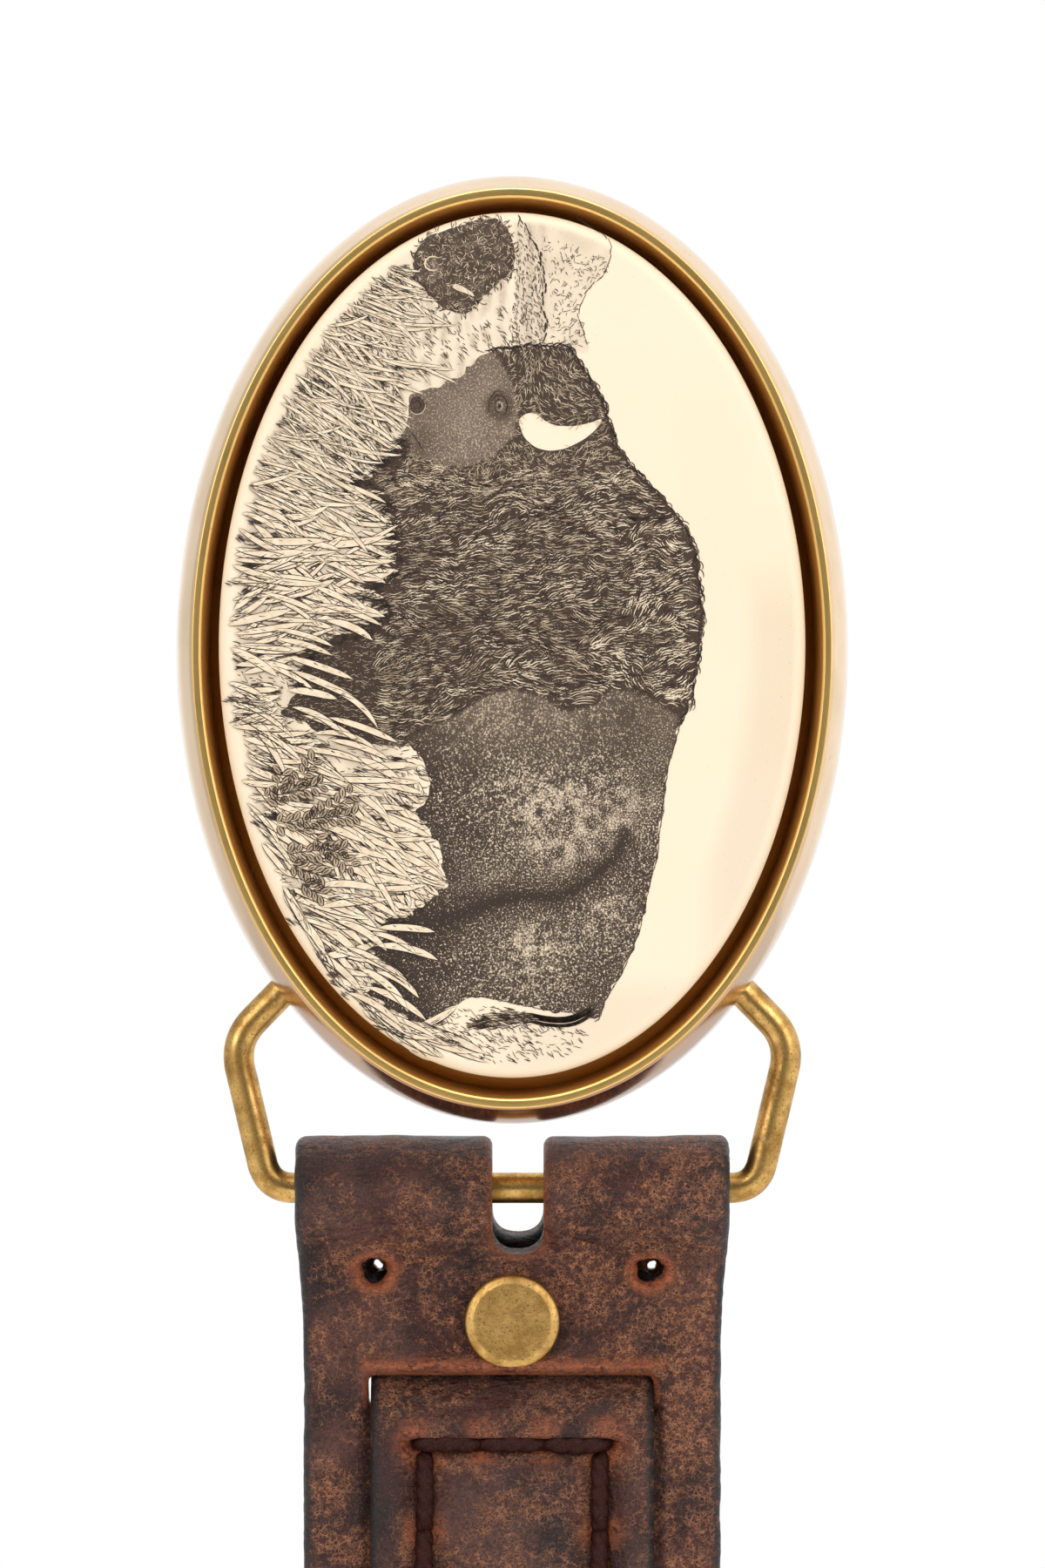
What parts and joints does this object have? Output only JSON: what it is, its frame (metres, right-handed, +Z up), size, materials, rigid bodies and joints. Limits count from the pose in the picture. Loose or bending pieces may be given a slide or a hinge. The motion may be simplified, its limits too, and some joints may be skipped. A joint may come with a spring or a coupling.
{
  "type": "belt buckle",
  "caption": "Oval brass dress buckle with an engraved ivory-coloured inlay, a hinged wire bail and a folded leather belt end.",
  "frame": {"origin": "centre of the back plate's flat rear face", "axes": "+Z up the long axis of the oval, away from the bail; +Y out of the rear, so the engraved face looks along -Y; +X to the right seen from the front"},
  "size_m": [0.0586, 0.0185, 0.1299],
  "materials": {
    "polished_brass": "mirror polished wall, satin land",
    "aged_brass": "worn satin brass",
    "ivory_polymer": "polished ivory-coloured resin with dark ink in engraved lines",
    "adhesive": "cured adhesive",
    "belt_leather": "distressed dark brown, near-black painted edges",
    "overlay_leather": "distressed dark brown, near-black painted edges",
    "waxed_thread": "heavy twisted waxed thread"
  },
  "bodies": {
    "buckle": {"bezel_frame": "polished_brass", "back_plate": "aged_brass", "inlay_adhesive": "adhesive", "scrimshaw_inlay": "ivory_polymer", "tube_saddle": "aged_brass", "bail_tube": "aged_brass", "belt_hook": "aged_brass"},
    "bail": {"bail_wire": "aged_brass"},
    "strap": {"belt_strap": "belt_leather", "overlay_strap": "overlay_leather", "screw_post": "aged_brass", "post_screw": "aged_brass", "box_stitch_1": "waxed_thread", "box_stitch_2": "waxed_thread", "box_stitch_3": "waxed_thread", "box_stitch_4": "waxed_thread", "box_stitch_5": "waxed_thread", "box_stitch_6": "waxed_thread", "box_stitch_7": "waxed_thread", "box_stitch_8": "waxed_thread", "box_stitch_9": "waxed_thread", "box_stitch_10": "waxed_thread"}
  },
  "joints": [
    {"name": "bail_hinge", "type": "hinge", "parent": "buckle", "child": "bail", "pos_m": [0, 0.0031, -0.026], "axis": [1, 0, 0], "range_deg": [-12, 110]},
    {"name": "strap_hinge", "type": "hinge", "parent": "bail", "child": "strap", "pos_m": [0, 0.0031, -0.0472], "axis": [1, 0, 0], "range_deg": [-80, 80]}
  ]
}
